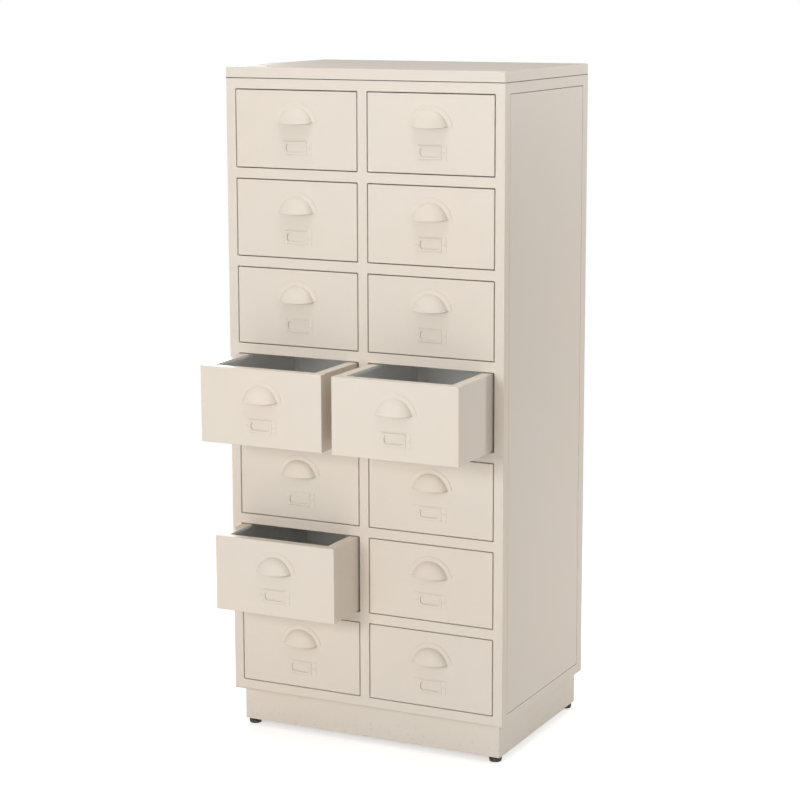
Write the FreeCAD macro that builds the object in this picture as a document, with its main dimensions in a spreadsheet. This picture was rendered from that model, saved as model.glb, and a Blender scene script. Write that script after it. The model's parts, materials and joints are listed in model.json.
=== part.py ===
import FreeCAD, Part
import math
import os
import re
import Sketcher

# Metal drawer cabinet: two columns of seven drawers in a folded sheet steel case.
# Frame: +Z up, floor at Z = 0, drawers open towards -Y, X = 0 midway between the columns.
# The origin is the middle of the base of everything at rest, with three drawers standing open.
# All sizes are millimetres.

doc = FreeCAD.newDocument("drawer_cabinet")
sheet = doc.addObject("Spreadsheet::Sheet", "sizes")

SIZES = [
    ("case_width", 650, "outside width of the case"),
    ("case_depth", 450, "outside depth of the case"),
    ("rows", 7, "drawers in each column"),
    ("opening_height", 168, "height of one drawer opening"),
    ("rail_height", 22, "face of a rail between two openings"),
    ("end_rail_height", 22, "top rail, and bottom rail with the bottom sheet under it"),
    ("stile_width", 22, "face of each upright of the front frame"),
    ("opening_fold", 16, "depth of the folds round each opening"),
    ("frame_steel", 1.2, "sheet of posts, rails, cap, bottom and runners"),
    ("panel_steel", 0.8, "sheet of the side and back panels and the partition"),
    ("bend_radius", 1.0, "rounding outside the front corners of the case"),
    ("front_post_side", 24, "side face of a front post"),
    ("rear_post_side", 28, "side face of a rear post"),
    ("joint_gap", 1.2, "open joint round a side or back panel"),
    ("side_panel_fold", 10.4, "depth of the folds round a side panel"),
    ("side_panel_radius", 1.2, "rounding outside the folds of a side panel"),
    ("back_recess", 6, "depth from the rear of the case to the ledge of the back panel"),
    ("ledge_width", 14, "ledge that a panel or a runner is fixed to"),
    ("top_flange", 25, "flange of the top and bottom rails of the case"),
    ("cap_height", 22.4, "skirt of the cap"),
    ("cap_joint", 1.6, "shadow joint between the case and the cap"),
    ("cap_seat_inset", 4, "depth of the shadow joint"),
    ("cap_seat_width", 16, "seat of the cap on the case"),
    ("cap_fold", 20, "fold under the skirt of the cap"),
    ("cap_front_pad", 11, "closed end of the shadow joint at a front corner"),
    ("cap_rear_pad", 27, "closed end of the shadow joint at a rear corner"),
    ("cap_radius", 1.5, "rounding of the folds of the cap"),
    ("plinth_height", 75, "height of the plinth"),
    ("plinth_front", 20, "plinth behind the front of the case"),
    ("plinth_side", 15, "plinth inside each side of the case"),
    ("plinth_back", 2, "plinth inside the rear of the case"),
    ("plinth_steel", 1.5, "sheet of the plinth"),
    ("plinth_lip", 32, "bottom flange of the plinth"),
    ("plinth_top_flange", 12, "top flange of the plinth"),
    ("foot_showing", 12, "floor to the underside of the plinth"),
    ("foot_radius", 14, "disc of a levelling foot"),
    ("foot_base_radius", 12, "underside of the disc"),
    ("foot_disc", 8, "height of the disc"),
    ("foot_rim", 3, "upright rim of the disc"),
    ("foot_side", 15.5, "foot axis inside the side of the plinth"),
    ("foot_front", 15.5, "foot axis inside the front or the rear of the plinth"),
    ("stud_radius", 4, "stud of a foot"),
    ("stud_length", 42, "stud above the disc"),
    ("stud_gap", 0.1, "clearance of the stud in its nut"),
    ("nut_radius", 8, "weld nut that a foot screws into"),
    ("nut_height", 14, "height of the weld nut"),
    ("front_gap", 2, "gap round a drawer front in its opening"),
    ("front_fold", 20, "depth of the folds of a drawer front"),
    ("front_radius", 1.5, "rounding of a drawer front"),
    ("drawer_steel", 0.8, "sheet of the drawers"),
    ("box_inset", 2, "drawer side inside the edge of the drawer front"),
    ("box_lift", 1, "drawer bottom above the lower edge of the front"),
    ("box_depth", 406, "drawer from its front face to its rear face"),
    ("rim_width", 22, "flange along the top of a drawer side"),
    ("rim_hem", 6, "turned-down edge of that flange"),
    ("rear_tab", 18, "tab of a drawer side on the rear wall"),
    ("runner_leg", 13, "runner under the drawer"),
    ("runner_height", 24, "height of a runner"),
    ("runner_flange", 12, "flange that fixes a runner"),
    ("runner_side_gap", 1.0, "drawer side to runner"),
    ("runner_gap", 0.3, "drawer bottom to runner"),
    ("pull_radius", 41, "cup of the pull in front view"),
    ("pull_lip", 9, "open lip of the cup above the centre of that radius"),
    ("pull_reach", 22, "pull in front of the drawer front"),
    ("pull_shoulder", 16, "radius where the cup turns forward"),
    ("pull_flange", 10.5, "flat flange round the cup"),
    ("pull_steel", 1.2, "sheet of the pull"),
    ("pull_margin", 23, "top of the pull below the top of the drawer front"),
    ("label_width", 74, "label holder with its wings"),
    ("label_height", 32, "height of the label holder"),
    ("label_steel", 0.8, "sheet of the label holder"),
    ("label_rise", 2.5, "raised frame in front of the drawer front"),
    ("label_frame_width", 55, "raised frame between the wings"),
    ("label_margin", 104, "top of the label holder below the top of the drawer front"),
    ("window_width", 45, "window of the label holder"),
    ("window_height", 18, "height of the window"),
    ("window_radius", 7, "rounded corner of the window"),
    ("rivet_spacing", 64, "distance between the two rivets of a label holder"),
    ("rivet_radius", 2.3, "rivet head"),
    ("rivet_head", 0.9, "height of the rivet head"),
    ("rivet_shank", 1.5, "shank of the rivet"),
    ("rivet_gap", 0.1, "clearance of the shank in its holes"),
    ("rivet_tail", 2.5, "closed end of the rivet behind the drawer front"),
    ("rivet_spread", 0.4, "how far that end spreads past its hole"),
    ("out_4_left", 165, "drawer 4 left stands open by this much"),
    ("out_4_right", 170, "drawer 4 right stands open by this much"),
    ("out_6_left", 115, "drawer 6 left stands open by this much"),
]

for line, (alias, number, note) in enumerate(SIZES, start=1):
    sheet.set(f"A{line}", alias)
    sheet.set(f"B{line}", str(number))
    sheet.set(f"C{line}", note)
    sheet.setAlias(f"B{line}", alias)
doc.recompute()

ALIASES = re.compile(r"\b(" + "|".join(alias for alias, _, _ in SIZES) + r")\b")


def bound(text):
    """The text with every size name turned into its cell of the sheet."""
    return ALIASES.sub(r"sizes.\1", text)


def value(text):
    """The number that an expression on the sizes gives."""
    result = sheet.evalExpression(bound(text))
    return float(getattr(result, "Value", result))


# Heights and places that several pieces share, as expressions on the sizes.
# Y counts back from the front face of the case until a piece is placed.
CASE_BOTTOM = "(foot_showing + plinth_height)"
FRAME_BOTTOM = f"({CASE_BOTTOM} + frame_steel)"
ROW_PITCH = "(opening_height + rail_height)"
FIRST_OPENING = f"({CASE_BOTTOM} + end_rail_height)"
LAST_OPENING_TOP = f"({FIRST_OPENING} + rows * opening_height + (rows - 1) * rail_height)"
FRAME_TOP = f"({LAST_OPENING_TOP} + end_rail_height)"
FRAME_HEIGHT = f"({FRAME_TOP} - {FRAME_BOTTOM})"
HALF_WIDTH = "(case_width / 2)"
POST_X = f"({HALF_WIDTH} - stile_width)"
STILE_HALF = "(stile_width / 2)"
OPENING_WIDTH = f"({POST_X} - {STILE_HALF})"
COLUMN_X = f"(({POST_X} + {STILE_HALF}) / 2)"
LEDGE_X = f"({HALF_WIDTH} - side_panel_fold)"
REAR_POST_Y = "(case_depth - rear_post_side)"
BACK_LEDGE_Y = "(case_depth - back_recess)"
FRONT_HALF = f"({OPENING_WIDTH} / 2 - front_gap)"
FRONT_TOP = "(opening_height - front_gap)"
BOX_HALF = f"({FRONT_HALF} - box_inset)"
BOX_BOTTOM = "(front_gap + box_lift)"
DOME_RISE = "(pull_reach - pull_shoulder)"
SHOULDER_R = "(pull_radius - pull_shoulder)"
DOME_CENTRE = f"(({SHOULDER_R} ^ 2 - {DOME_RISE} ^ 2) / (2 * {DOME_RISE}))"
DOME_RADIUS = f"({DOME_CENTRE} + pull_reach)"
PULL_FRONT = f"(sqrt({DOME_RADIUS} ^ 2 - pull_lip ^ 2) - {DOME_CENTRE})"
REACH = f"(max(out_4_left; out_4_right; out_6_left) + {PULL_FRONT})"
FRONT_Y = f"(({REACH} - case_depth) / 2)"

SIDES = (("left", -1), ("right", 1))
STANDING_OPEN = {(4, "left"): "out_4_left", (4, "right"): "out_4_right", (6, "left"): "out_6_left"}


def row_bottom(row):
    """Bottom of the opening of a row, the rows counted from the top."""
    return f"({FIRST_OPENING} + (rows - {row}) * {ROW_PITCH})"


def place(piece, x="0", y=FRONT_Y, z="0"):
    for axis, text in zip("xyz", (x, y, z)):
        piece.setExpression(f"Placement.Base.{axis}", bound(text))
    return piece


def new_body(label):
    body = doc.addObject("PartDesign::Body", label)
    body.Label = label
    body.AllowCompound = True
    return body


def group(label, members):
    """One sub-part that repeats or joins other solids."""
    compound = doc.addObject("Part::Compound", label)
    compound.Label = label
    compound.Links = members
    return compound


def origin_feature(body, role):
    for feature in body.Origin.OriginFeatures:
        if feature.Role == role:
            return feature
    raise ValueError(role)


def arc_between(start, end, radius, turn):
    """An arc from start to end that bends left where turn is 1 and right where it is -1."""
    chord = end - start
    to_left = FreeCAD.Vector(-chord.y, chord.x, 0).normalize()
    rise = math.sqrt(max(radius**2 - chord.Length**2 / 4, 0))
    centre = (start + end) * 0.5 + to_left * (rise * turn)
    ends = (start, end) if turn > 0 else (end, start)
    angles = [math.atan2(point.y - centre.y, point.x - centre.x) for point in ends]
    circle = Part.Circle(centre, FreeCAD.Vector(0, 0, 1), radius)
    return Part.ArcOfCircle(circle, angles[0], angles[1])


def new_sketch(body, name, role, offset):
    sketch = body.newObject("Sketcher::SketchObject", name)
    sketch.AttachmentSupport = (origin_feature(body, role), [""])
    sketch.MapMode = "FlatFace"
    sketch.setExpression("AttachmentOffset.Base.z", bound(offset))
    return sketch


def constrain(sketch, rules):
    """Add constraints; those that come with an expression are bound to the sizes."""
    sketch.addConstraint([rule for rule, _ in rules])
    for number, (_, text) in enumerate(rules):
        if text is not None:
            sketch.setExpression(f"Constraints[{number}]", bound(text))


def outline(body, name, role, corners, offset="0"):
    """A closed sketch. A corner is (u, v), or (u, v, radius, turn) where an arc leaves it.

    Every corner is dimensioned from the body's origin, and every arc has its radius.
    """
    sketch = new_sketch(body, name, role, offset)
    points = [FreeCAD.Vector(value(corner[0]), value(corner[1]), 0) for corner in corners]
    starts = []
    ends = []
    rules = []
    for i, corner in enumerate(corners):
        after = points[(i + 1) % len(points)]
        turn = corner[3] if len(corner) == 4 else 1
        if len(corner) == 4:
            radius = value(corner[2])
            sketch.addGeometry(arc_between(points[i], after, radius, turn), False)
            rules.append((Sketcher.Constraint("Radius", i, radius), corner[2]))
        else:
            sketch.addGeometry(Part.LineSegment(points[i], after), False)
        starts.append(1 if turn > 0 else 2)
        ends.append(2 if turn > 0 else 1)
    for i, corner in enumerate(corners):
        after = (i + 1) % len(points)
        joined = Sketcher.Constraint("Coincident", i, ends[i], after, starts[after])
        across = Sketcher.Constraint("DistanceX", -1, 1, i, starts[i], points[i].x)
        upwards = Sketcher.Constraint("DistanceY", -1, 1, i, starts[i], points[i].y)
        rules += [(joined, None), (across, corner[0]), (upwards, corner[1])]
    constrain(sketch, rules)
    return sketch


def ring(body, name, role, centre, radius, offset="0"):
    """A circle sketch."""
    sketch = new_sketch(body, name, role, offset)
    point = FreeCAD.Vector(value(centre[0]), value(centre[1]), 0)
    sketch.addGeometry(Part.Circle(point, FreeCAD.Vector(0, 0, 1), value(radius)), False)
    rules = [
        (Sketcher.Constraint("Radius", 0, value(radius)), radius),
        (Sketcher.Constraint("DistanceX", -1, 1, 0, 3, point.x), centre[0]),
        (Sketcher.Constraint("DistanceY", -1, 1, 0, 3, point.y), centre[1]),
    ]
    constrain(sketch, rules)
    return sketch


def rectangle(low_u, high_u, low_v, high_v):
    return [(low_u, low_v), (high_u, low_v), (high_u, high_v), (low_u, high_v)]


def folded(line, steel):
    """Section of a folded sheet: the line is one face, and the steel lies to its left."""
    points = [(value(u), value(v)) for u, v in line]
    to_left = []
    for (u0, v0), (u1, v1) in zip(points, points[1:]):
        length = math.hypot(u1 - u0, v1 - v0)
        to_left.append((round((v0 - v1) / length), round((u1 - u0) / length)))
    other_face = []
    for i, (u, v) in enumerate(line):
        beside = to_left[max(i - 1, 0) : i + 1]
        across = sum(direction[0] for direction in beside)
        upwards = sum(direction[1] for direction in beside)
        other_face.append((f"({u} + {across} * {steel})", f"({v} + {upwards} * {steel})"))
    return line + other_face[::-1]


def mirrored(corners, sign):
    """The corners of a right-hand section, turned over for the left-hand piece."""
    return [(f"({sign} * {corner[0]})", *corner[1:]) for corner in corners]


# The normal of the XZ plane points to -Y, so lengths there are laid off backwards.
def plane_offset(role, start):
    return f"-({start})" if role == "XZ_Plane" else start


def add(body, name, role, corners, start, end):
    """A pad from start to end along the axis that the plane is square to."""
    sketch = outline(body, f"{name}_section", role, corners, plane_offset(role, start))
    pad = body.newObject("PartDesign::Pad", name)
    pad.Profile = sketch
    pad.Reversed = role == "XZ_Plane"
    pad.setExpression("Length", bound(f"({end}) - ({start})"))
    return pad


def take(body, name, sketch, role, length):
    """A pocket along the positive axis, which has to take something away."""
    doc.recompute()
    before = body.Tip.Shape.Volume
    pocket = body.newObject("PartDesign::Pocket", name)
    pocket.Profile = sketch
    pocket.Reversed = role != "XZ_Plane"
    pocket.setExpression("Length", bound(length))
    doc.recompute()
    if not pocket.Shape.Volume < before:
        raise ValueError(f"{name} cuts nothing")
    return pocket


def cut(body, name, role, corners, start, end):
    """A pocket from start to end along the axis that the plane is square to."""
    sketch = outline(body, f"{name}_section", role, corners, plane_offset(role, start))
    return take(body, name, sketch, role, f"({end}) - ({start})")


def drill(body, name, role, centre, radius, start, end):
    """A round hole from start to end along the axis that the plane is square to."""
    sketch = ring(body, f"{name}_circle", role, centre, radius, plane_offset(role, start))
    return take(body, name, sketch, role, f"({end}) - ({start})")


def stack(body, name, feature, occurrences, spacing):
    """Copies of a feature, one above the other."""
    pattern = body.newObject("PartDesign::LinearPattern", name)
    pattern.Originals = [feature]
    pattern.Direction = (origin_feature(body, "Z_Axis"), [""])
    pattern.setExpression("Length", bound(f"{spacing} * max({occurrences} - 1; 1)"))
    pattern.setExpression("Occurrences", bound(occurrences))
    body.Tip = pattern
    return pattern


def turned(body, name, role, corners, axis):
    """A full turn of an outline about one axis of its own sketch."""
    revolution = body.newObject("PartDesign::Revolution", name)
    sketch = outline(body, f"{name}_section", role, corners)
    revolution.Profile = sketch
    revolution.ReferenceAxis = (sketch, [axis])
    revolution.Angle = 360
    body.Tip = revolution
    return revolution


def near(a, b):
    return abs(a - b) < 1e-4


def round_over(body, name, wanted, radius):
    """Fillet the straight edges of the tip that the test picks by their two ends."""
    doc.recompute()
    base = body.Tip
    picked = []
    for number, edge in enumerate(base.Shape.Edges, start=1):
        if len(edge.Vertexes) == 2 and wanted(edge.Vertexes[0].Point, edge.Vertexes[1].Point):
            picked.append(f"Edge{number}")
    if not picked:
        raise ValueError(f"{name} finds no edge")
    fillet = body.newObject("PartDesign::Fillet", name)
    fillet.Base = (base, picked)
    fillet.setExpression("Radius", bound(radius))
    return fillet


# Front posts: front face, side face and a stepped ledge that carries the side panel and runners.
# Above and below the side panel the ledge is cut away, and the case rails run in there.
def case_post(label, line, sign, cuts):
    body = new_body(label)
    section = mirrored(folded(line, "frame_steel"), sign)
    add(body, f"{label}_fold", "XY_Plane", section, "0", FRAME_HEIGHT)
    panel_bottom = f"({FIRST_OPENING} - {FRAME_BOTTOM})"
    panel_top = f"({FRAME_HEIGHT} - end_rail_height)"
    for number, (role, low, high) in enumerate(cuts):
        for end, bottom, top in (("low", "0", panel_bottom), ("high", panel_top, FRAME_HEIGHT)):
            corners = rectangle(low, high, bottom, top)
            across = ("-case_width", "case_width") if role == "YZ_Plane" else ("0", "case_depth")
            cut(body, f"{label}_{end}_notch_{number}", role, corners, *across)
    return body


FRONT_LEDGE_END = "(front_post_side + ledge_width)"
REAR_LEDGE_END = f"({REAR_POST_Y} - ledge_width)"
BACK_LEDGE_END = f"({POST_X} - ledge_width)"

FRONT_POST_LINE = [
    (POST_X, "opening_fold"),
    (POST_X, "0"),
    (HALF_WIDTH, "0"),
    (HALF_WIDTH, "front_post_side"),
    (LEDGE_X, "front_post_side"),
    (LEDGE_X, FRONT_LEDGE_END),
]

REAR_POST_LINE = [
    (LEDGE_X, REAR_LEDGE_END),
    (LEDGE_X, REAR_POST_Y),
    (HALF_WIDTH, REAR_POST_Y),
    (HALF_WIDTH, "case_depth"),
    (POST_X, "case_depth"),
    (POST_X, BACK_LEDGE_Y),
    (BACK_LEDGE_END, BACK_LEDGE_Y),
]


def front_post(side, sign):
    notches = [("YZ_Plane", "front_post_side", FRONT_LEDGE_END)]
    body = case_post(f"{side}_front_post", FRONT_POST_LINE, sign, notches)
    corner_x = sign * value(HALF_WIDTH)

    def front_corner(a, b):
        return near(a.x, corner_x) and near(b.x, corner_x) and near(a.y, 0) and near(b.y, 0)

    round_over(body, f"{side}_front_post_bend", front_corner, "bend_radius")
    return place(body, z=FRAME_BOTTOM)


def rear_posts():
    members = []
    for side, sign in SIDES:
        low, high = sorted((f"({sign} * {POST_X})", f"({sign} * {BACK_LEDGE_END})"), key=value)
        notches = [("YZ_Plane", REAR_LEDGE_END, REAR_POST_Y), ("XZ_Plane", low, high)]
        members.append(case_post(f"{side}_rear_post", REAR_POST_LINE, sign, notches))
    return place(group("rear_posts", members), z=FRAME_BOTTOM)


# Front frame: a channel between the posts over each opening, and an upright between the columns.
def channel(low, high, depth, level):
    """A channel section open to the rear, between two levels of the front face."""
    return folded([(depth, high), (level, high), (level, low), (depth, low)], "frame_steel")


def centre_front_stile():
    body = new_body("centre_front_stile")
    line = [
        (f"-{STILE_HALF}", "opening_fold"),
        (f"-{STILE_HALF}", "0"),
        (STILE_HALF, "0"),
        (STILE_HALF, "opening_fold"),
    ]
    height = f"({LAST_OPENING_TOP} - {FIRST_OPENING})"
    add(body, "centre_front_stile_fold", "XY_Plane", folded(line, "frame_steel"), "0", height)
    return place(body, z=FIRST_OPENING)


def front_rails():
    members = []
    ends = (
        ("bottom", FRAME_BOTTOM, FIRST_OPENING),
        ("top", LAST_OPENING_TOP, FRAME_TOP),
    )
    for name, low, high in ends:
        body = new_body(f"{name}_front_rail")
        section = channel(low, high, "opening_fold", "0")
        add(body, f"{name}_front_rail_fold", "YZ_Plane", section, f"-{POST_X}", POST_X)
        members.append(body)
    for side, sign in SIDES:
        body = new_body(f"{side}_front_rails")
        low = f"({FIRST_OPENING} + opening_height)"
        section = channel(low, f"({low} + rail_height)", "opening_fold", "0")
        start, end = sorted((f"({sign} * {STILE_HALF})", f"({sign} * {POST_X})"), key=value)
        rail = add(body, f"{side}_front_rail_fold", "YZ_Plane", section, start, end)
        stack(body, f"{side}_front_rail_stack", rail, "(rows - 1)", ROW_PITCH)
        members.append(body)
    return place(group("front_rails", members))


# Case rails: above and below the side and back panels, with a flange and a ledge for the panel.
def rail_line(outside, ledge, flange_end, level, panel_level, ledge_end):
    return [
        (flange_end, level),
        (outside, level),
        (outside, panel_level),
        (ledge, panel_level),
        (ledge, ledge_end),
    ]


def case_rail(name, role, upper, outside, ledge, flange_end, start, end, sign=1):
    """A rail of the case; the flange, face and ledge follow one line of folds."""
    if upper:
        level, panel_level = FRAME_TOP, f"({FRAME_TOP} - end_rail_height)"
        ledge_end = f"({panel_level} - ledge_width)"
    else:
        level, panel_level = FRAME_BOTTOM, FIRST_OPENING
        ledge_end = f"({panel_level} + ledge_width)"
    line = rail_line(outside, ledge, flange_end, level, panel_level, ledge_end)
    if upper:
        line = line[::-1]
    section = folded(line, "frame_steel")
    body = new_body(name)
    if role == "XZ_Plane":
        section = mirrored(section, sign)
    add(body, f"{name}_fold", role, section, start, end)
    low, high = sorted((ledge_end, panel_level), key=value)
    if role == "XZ_Plane":
        cross_role, wide = "YZ_Plane", ("-case_width", "case_width")
    else:
        cross_role, wide = "XZ_Plane", ("0", "case_depth")
    for number, (near_end, far_end) in enumerate(((start, 1), (end, -1))):
        run = sorted((near_end, f"({near_end} + {far_end} * ledge_width)"), key=value)
        cut(body, f"{name}_notch_{number}", cross_role, rectangle(*run, low, high), *wide)
    return body


def body_rails():
    members = []
    for level, upper in (("bottom", False), ("top", True)):
        for side, sign in SIDES:
            members.append(
                case_rail(
                    f"{side}_{level}_case_rail",
                    "XZ_Plane",
                    upper,
                    HALF_WIDTH,
                    LEDGE_X,
                    f"({HALF_WIDTH} - top_flange)",
                    "front_post_side",
                    REAR_POST_Y,
                    sign,
                )
            )
        members.append(
            case_rail(
                f"rear_{level}_case_rail",
                "YZ_Plane",
                upper,
                "case_depth",
                BACK_LEDGE_Y,
                "(case_depth - top_flange)",
                f"-{POST_X}",
                POST_X,
            )
        )
    return place(group("body_rails", members))


# Side panels: shallow pans that lie flush in the case, with an open joint all round.
def side_panel(side, sign):
    body = new_body(f"{side}_side_panel")
    front = "(front_post_side + joint_gap)"
    rear = f"({REAR_POST_Y} - joint_gap)"
    low = f"({FIRST_OPENING} + joint_gap)"
    high = f"({FRAME_TOP} - end_rail_height - joint_gap)"
    outer = rectangle(front, rear, low, high)
    reach = sorted((f"({sign} * {LEDGE_X})", f"({sign} * {HALF_WIDTH})"), key=value)
    add(body, f"{side}_side_panel_pan", "YZ_Plane", outer, *reach)
    face_x = sign * value(HALF_WIDTH)

    def outer_edge(a, b):
        return near(a.x, face_x) and near(b.x, face_x)

    round_over(body, f"{side}_side_panel_bend", outer_edge, "side_panel_radius")
    inner = rectangle(
        f"({front} + panel_steel)",
        f"({rear} - panel_steel)",
        f"({low} + panel_steel)",
        f"({high} - panel_steel)",
    )
    wall = f"({sign} * ({HALF_WIDTH} - panel_steel))"
    hollow = sorted((f"({sign} * ({LEDGE_X} - panel_steel))", wall), key=value)
    cut(body, f"{side}_side_panel_hollow", "YZ_Plane", inner, *hollow)
    return place(body)


def back_panel():
    body = new_body("back_panel")
    corners = rectangle(
        f"-({POST_X} - joint_gap)",
        f"({POST_X} - joint_gap)",
        f"({FIRST_OPENING} + joint_gap)",
        f"({FRAME_TOP} - end_rail_height - joint_gap)",
    )
    rear_face = f"({BACK_LEDGE_Y} + panel_steel)"
    add(body, "back_panel_sheet", "XZ_Plane", corners, BACK_LEDGE_Y, rear_face)
    return place(body)


# Centre partition: one sheet from the front upright to the back, notched round the end rails.
def centre_partition():
    body = new_body("centre_partition")
    front = "frame_steel"
    behind_rail = "opening_fold"
    rear = f"({BACK_LEDGE_Y} - frame_steel)"
    low = f"({FRAME_BOTTOM} + frame_steel)"
    high = f"({FRAME_TOP} - frame_steel)"
    corners = [
        (behind_rail, low),
        (rear, low),
        (rear, high),
        (behind_rail, high),
        (behind_rail, LAST_OPENING_TOP),
        (front, LAST_OPENING_TOP),
        (front, FIRST_OPENING),
        (behind_rail, FIRST_OPENING),
    ]
    half = "(panel_steel / 2)"
    add(body, "centre_partition_sheet", "YZ_Plane", corners, f"-{half}", half)
    return place(body)


# Runners: a leg under the drawer, a web beside it, and a flange on the post ledges or partition.
# They are drawn for the right-hand side of a column and turned over for its left-hand side.
WEB_X = f"({BOX_HALF} + runner_side_gap)"
LEG_TOP = f"({BOX_BOTTOM} - runner_gap)"
RUNNER_TOP = f"({LEG_TOP} - frame_steel + runner_height)"
OUTER_FLANGE_X = f"({LEDGE_X} - frame_steel - {COLUMN_X})"
INNER_FLANGE_X = f"({COLUMN_X} - panel_steel / 2)"


def runner_stack(side, sign, place_name, flange_x, turn):
    """The runners on one side of a column, one above the other."""
    label = f"{side}_{place_name}_runners"
    body = new_body(label)
    line = [
        (f"({WEB_X} - runner_leg)", LEG_TOP),
        (WEB_X, LEG_TOP),
        (WEB_X, RUNNER_TOP),
        (flange_x, RUNNER_TOP),
        (flange_x, f"({RUNNER_TOP} - runner_flange)"),
    ]
    section = mirrored(folded(line[::-1], "frame_steel"), turn)
    section = [(f"({sign} * {COLUMN_X} + {u})", f"({v} + {FIRST_OPENING})") for u, v in section]
    runner = add(body, f"{label}_fold", "XZ_Plane", section, "front_post_side", REAR_POST_Y)
    stack(body, f"{label}_stack", runner, "rows", ROW_PITCH)
    return body


def drawer_runners():
    members = []
    for side, sign in SIDES:
        members.append(runner_stack(side, sign, "outer", OUTER_FLANGE_X, sign))
        members.append(runner_stack(side, sign, "inner", INNER_FLANGE_X, -sign))
    return place(group("drawer_runners", members))


def bottom_panel():
    panel = doc.addObject("Part::Box", "bottom_panel")
    panel.Label = "bottom_panel"
    panel.setExpression("Length", bound("case_width"))
    panel.setExpression("Width", bound("case_depth"))
    panel.setExpression("Height", bound("frame_steel"))
    return place(panel, x=f"-{HALF_WIDTH}", z=CASE_BOTTOM)


# Rings on the floor plane, for the cap and the plinth.
def inset(left, front, rear):
    """A rectangle inside the case by the given amounts at the sides, front and rear."""
    return rectangle(
        f"-({HALF_WIDTH} - ({left}))",
        f"({HALF_WIDTH} - ({left}))",
        f"({front})",
        f"(case_depth - ({rear}))",
    )


def even_inset(amount):
    return inset(amount, amount, amount)


# Top cap: a pan with its skirt folded under, on a narrower seat that leaves a shadow joint.
def top_cap():
    body = new_body("top_cap")
    skirt_top = "(cap_joint + cap_height)"
    add(body, "top_cap_pan", "XY_Plane", even_inset("0"), "cap_joint", skirt_top)
    top = value(skirt_top)
    side_x = value(HALF_WIDTH)

    def top_or_corner(a, b):
        on_top = near(a.z, top) and near(b.z, top)
        upright = near(abs(a.x), side_x) and near(a.x, b.x) and near(a.y, b.y)
        return on_top or upright

    round_over(body, "top_cap_bend", top_or_corner, "cap_radius")
    floor_level = "(cap_joint + frame_steel)"
    roof_level = f"({skirt_top} - frame_steel)"
    cut(body, "top_cap_hollow", "XY_Plane", even_inset("frame_steel"), floor_level, roof_level)
    cut(body, "top_cap_mouth", "XY_Plane", even_inset("cap_fold"), "0", floor_level)
    add(body, "top_cap_seat", "XY_Plane", even_inset("cap_seat_inset"), "0", "cap_joint")
    within = even_inset("(cap_seat_inset + cap_seat_width)")
    cut(body, "top_cap_seat_mouth", "XY_Plane", within, "0", "cap_joint")
    for side, sign in SIDES:
        outside = f"({sign} * {HALF_WIDTH})"
        front_in = f"({sign} * ({HALF_WIDTH} - cap_front_pad))"
        rear_in = f"({sign} * ({HALF_WIDTH} - cap_seat_inset))"
        front_run = sorted((outside, front_in), key=value)
        rear_run = sorted((outside, rear_in), key=value)
        front_pad = rectangle(*front_run, "0", "cap_seat_inset")
        rear_pad = rectangle(*rear_run, "(case_depth - cap_rear_pad)", "case_depth")
        add(body, f"top_cap_{side}_front_pad", "XY_Plane", front_pad, "0", "cap_joint")
        add(body, f"top_cap_{side}_rear_pad", "XY_Plane", rear_pad, "0", "cap_joint")
    return place(body, z=FRAME_TOP)


# Plinth: a folded ring with flanges inwards at top and bottom, and a weld nut over each foot.
FOOT_X = f"({HALF_WIDTH} - plinth_side - foot_side)"
FOOT_FRONT_Y = "(plinth_front + foot_front)"
FOOT_REAR_Y = "(case_depth - plinth_back - foot_front)"
FEET = [
    (f"{side}_{end}", f"({sign} * {FOOT_X})", y)
    for side, sign in SIDES
    for end, y in (("front", FOOT_FRONT_Y), ("rear", FOOT_REAR_Y))
]


def plinth_inset(amount):
    return inset(
        f"plinth_side + {amount}", f"plinth_front + {amount}", f"plinth_back + {amount}"
    )


def plinth():
    body = new_body("plinth")
    under_top = "(plinth_height - plinth_steel)"
    add(body, "plinth_ring", "XY_Plane", plinth_inset("0"), "0", "plinth_height")
    outer_x = value(f"{HALF_WIDTH} - plinth_side")

    def upright_corner(a, b):
        return near(abs(a.x), outer_x) and near(a.x, b.x) and near(a.y, b.y)

    round_over(body, "plinth_bend", upright_corner, "plinth_steel")
    hollow = plinth_inset("plinth_steel")
    cut(body, "plinth_hollow", "XY_Plane", hollow, "plinth_steel", under_top)
    cut(body, "plinth_top_mouth", "XY_Plane", plinth_inset("plinth_top_flange"), under_top, "plinth_height")
    cut(body, "plinth_mouth", "XY_Plane", plinth_inset("plinth_lip"), "0", "plinth_steel")
    for name, x, y in FEET:
        nut = body.newObject("PartDesign::Pad", f"nut_{name}")
        nut.Profile = ring(body, f"nut_{name}_circle", "XY_Plane", (x, y), "nut_radius", "plinth_steel")
        nut.setExpression("Length", bound("nut_height"))
        bore = "(stud_radius + stud_gap)"
        drill(body, f"nut_{name}_bore", "XY_Plane", (x, y), bore, "0", "(plinth_steel + nut_height)")
    return place(body, z="foot_showing")


def foot_pattern():
    body = new_body("foot_pattern")
    corners = [
        ("0", "0"),
        ("foot_base_radius", "0"),
        ("foot_radius", "(foot_disc - foot_rim)"),
        ("foot_radius", "foot_disc"),
        ("stud_radius", "foot_disc"),
        ("stud_radius", "(foot_disc + stud_length)"),
        ("0", "(foot_disc + stud_length)"),
    ]
    turned(body, "foot_turning", "XZ_Plane", corners, "V_Axis")
    return body


# Drawer: a pan-shaped front, and a box of one folded sheet with a rear wall and a front wall.
# Its own origin is the middle of the opening's lower edge, in the plane of the case front.
PULL_Z = f"({FRONT_TOP} - pull_margin - pull_flange - pull_radius)"
LABEL_TOP = f"({FRONT_TOP} - label_margin)"
LABEL_MIDDLE = f"({LABEL_TOP} - label_height / 2)"


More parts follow.
